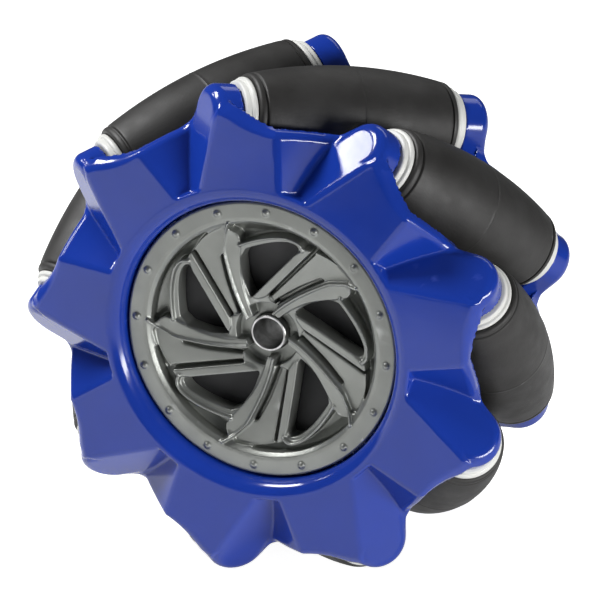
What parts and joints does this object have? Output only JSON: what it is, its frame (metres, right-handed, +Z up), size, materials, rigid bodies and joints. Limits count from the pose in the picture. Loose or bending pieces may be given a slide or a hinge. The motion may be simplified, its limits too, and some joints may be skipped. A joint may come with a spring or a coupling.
{
  "type": "mecanum wheel",
  "caption": "Mecanum wheel: free-running rubber rollers at 45 degrees between two moulded blue crown shells, with a turbine-style hub cap and a shaft bore.",
  "frame": {"origin": "centre of the wheel, on the shaft axis, midway between the two shells' flat fronts", "axes": "+Y along the wheel's spin axis, towards the drive side; the turbine cap faces -Y; +Z up"},
  "size_m": [0.097, 0.0456, 0.097],
  "materials": {
    "blue_shell": "glossy moulded blue plastic",
    "gunmetal": "plastic with a satin gunmetal metallic coat",
    "graphite": "dark graphite moulded plastic",
    "sleeve_metal": "turned aluminium, satin",
    "screw_steel": "dark zinc-plated steel",
    "tread_rubber": "matte black moulded rubber",
    "white_nylon": "natural white nylon, semi-matte",
    "bush_bronze": "sintered bronze",
    "axle_steel": "ground steel pin"
  },
  "bodies": {
    "hub": {"front_shell": "blue_shell", "rear_shell": "blue_shell", "front_hub_cap": "gunmetal", "rear_hub_cap": "gunmetal", "hub_core": "graphite", "hub_sleeve": "sleeve_metal", "clamp_screws": "screw_steel", "roller_1_axle": "axle_steel", "roller_2_axle": "axle_steel", "roller_3_axle": "axle_steel", "roller_4_axle": "axle_steel", "roller_5_axle": "axle_steel", "roller_6_axle": "axle_steel", "roller_7_axle": "axle_steel", "roller_8_axle": "axle_steel", "roller_9_axle": "axle_steel"},
    "roller_1": {"roller_1_tread": "tread_rubber", "roller_1_core": "white_nylon", "roller_1_bushes": "bush_bronze"},
    "roller_2": {"roller_2_tread": "tread_rubber", "roller_2_core": "white_nylon", "roller_2_bushes": "bush_bronze"},
    "roller_3": {"roller_3_tread": "tread_rubber", "roller_3_core": "white_nylon", "roller_3_bushes": "bush_bronze"},
    "roller_4": {"roller_4_tread": "tread_rubber", "roller_4_core": "white_nylon", "roller_4_bushes": "bush_bronze"},
    "roller_5": {"roller_5_tread": "tread_rubber", "roller_5_core": "white_nylon", "roller_5_bushes": "bush_bronze"},
    "roller_6": {"roller_6_tread": "tread_rubber", "roller_6_core": "white_nylon", "roller_6_bushes": "bush_bronze"},
    "roller_7": {"roller_7_tread": "tread_rubber", "roller_7_core": "white_nylon", "roller_7_bushes": "bush_bronze"},
    "roller_8": {"roller_8_tread": "tread_rubber", "roller_8_core": "white_nylon", "roller_8_bushes": "bush_bronze"},
    "roller_9": {"roller_9_tread": "tread_rubber", "roller_9_core": "white_nylon", "roller_9_bushes": "bush_bronze"}
  },
  "joints": [
    {"name": "roller_1_spin", "type": "hinge", "parent": "hub", "child": "roller_1", "pos_m": [-0.01769, 0, 0.03442], "axis": [0.6289, 0.7071, 0.3232], "continuous": true},
    {"name": "roller_2_spin", "type": "hinge", "parent": "hub", "child": "roller_2", "pos_m": [0.00857, 0, 0.03774], "axis": [0.6895, 0.7071, -0.1567], "continuous": true},
    {"name": "roller_3_spin", "type": "hinge", "parent": "hub", "child": "roller_3", "pos_m": [0.03083, 0, 0.0234], "axis": [0.4275, 0.7071, -0.5632], "continuous": true},
    {"name": "roller_4_spin", "type": "hinge", "parent": "hub", "child": "roller_4", "pos_m": [0.03865, 0, -0.00189], "axis": [-0.0345, 0.7071, -0.7063], "continuous": true},
    {"name": "roller_5_spin", "type": "hinge", "parent": "hub", "child": "roller_5", "pos_m": [0.0284, 0, -0.02629], "axis": [-0.4804, 0.7071, -0.5188], "continuous": true},
    {"name": "roller_6_spin", "type": "hinge", "parent": "hub", "child": "roller_6", "pos_m": [0.00485, 0, -0.03839], "axis": [-0.7015, 0.7071, -0.0886], "continuous": true},
    {"name": "roller_7_spin", "type": "hinge", "parent": "hub", "child": "roller_7", "pos_m": [-0.02096, 0, -0.03253], "axis": [-0.5944, 0.7071, 0.383], "continuous": true},
    {"name": "roller_8_spin", "type": "hinge", "parent": "hub", "child": "roller_8", "pos_m": [-0.03697, 0, -0.01144], "axis": [-0.2091, 0.7071, 0.6755], "continuous": true},
    {"name": "roller_9_spin", "type": "hinge", "parent": "hub", "child": "roller_9", "pos_m": [-0.03568, 0, 0.015], "axis": [0.274, 0.7071, 0.6519], "continuous": true}
  ]
}
